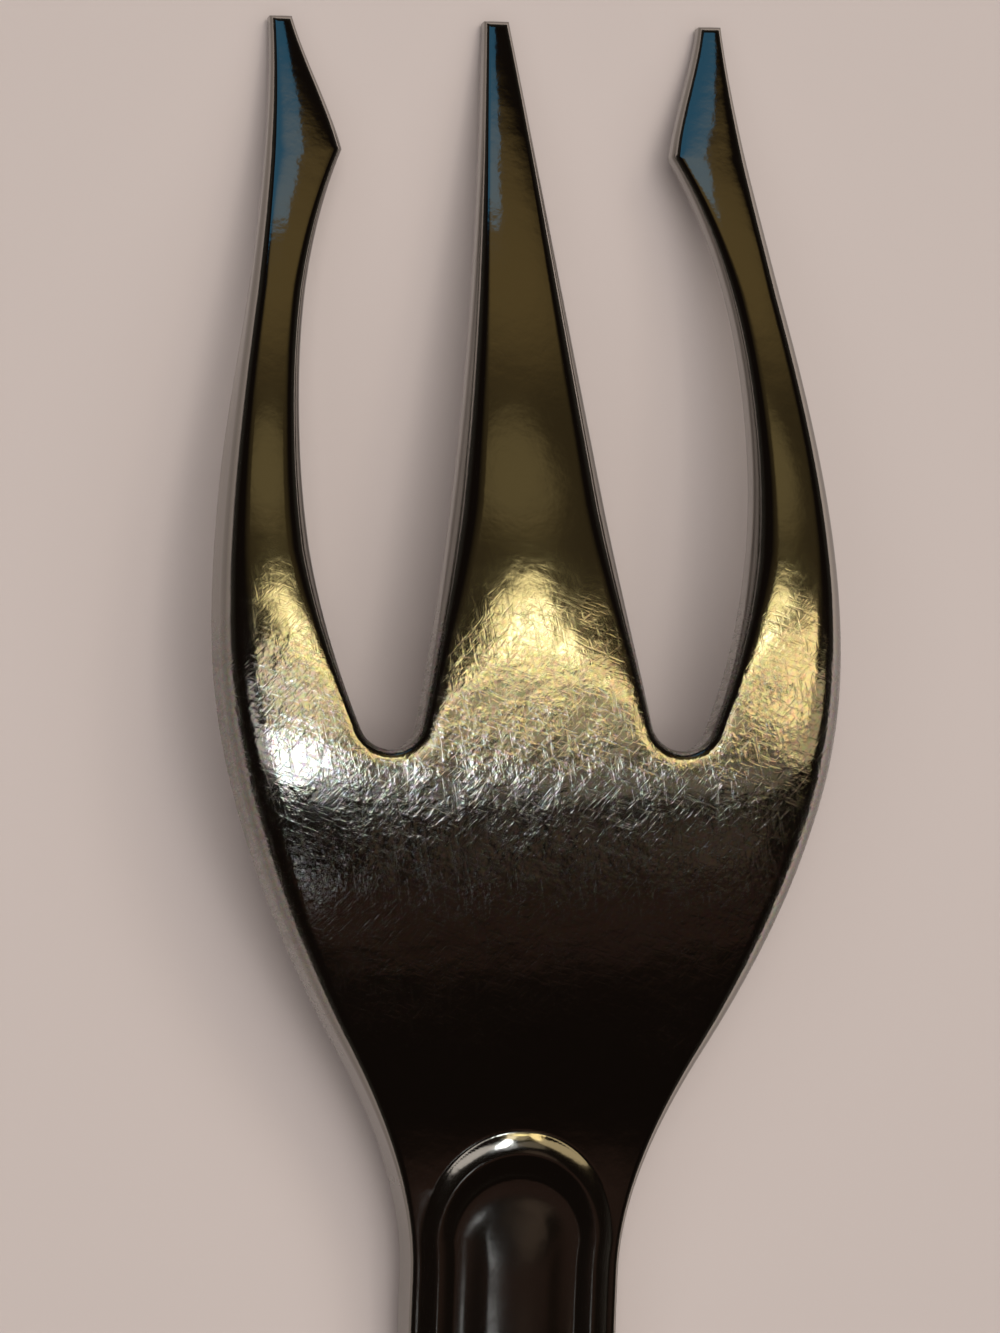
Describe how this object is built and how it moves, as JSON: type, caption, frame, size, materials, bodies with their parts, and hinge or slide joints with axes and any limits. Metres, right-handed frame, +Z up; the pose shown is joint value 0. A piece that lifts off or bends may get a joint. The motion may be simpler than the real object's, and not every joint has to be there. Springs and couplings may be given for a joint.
{
  "type": "oyster fork",
  "caption": "Slim polished steel seafood fork with barbed outer tines, a tapered middle tine and a raised thread bead round its handle.",
  "frame": {"origin": "On the table under the middle of the fork's bounding box, with the fork lying face down.", "axes": "+X to the right across the tines, +Y along the fork toward the tine tips, +Z up out of the back of the head."},
  "size_m": [0.0208, 0.145, 0.0088],
  "materials": {
    "polished_steel": "polished stainless steel with fine wear scratches"
  },
  "bodies": {
    "root": {"left_tine": "polished_steel", "middle_tine": "polished_steel", "right_tine": "polished_steel", "palm": "polished_steel", "handle": "polished_steel"}
  },
  "joints": []
}
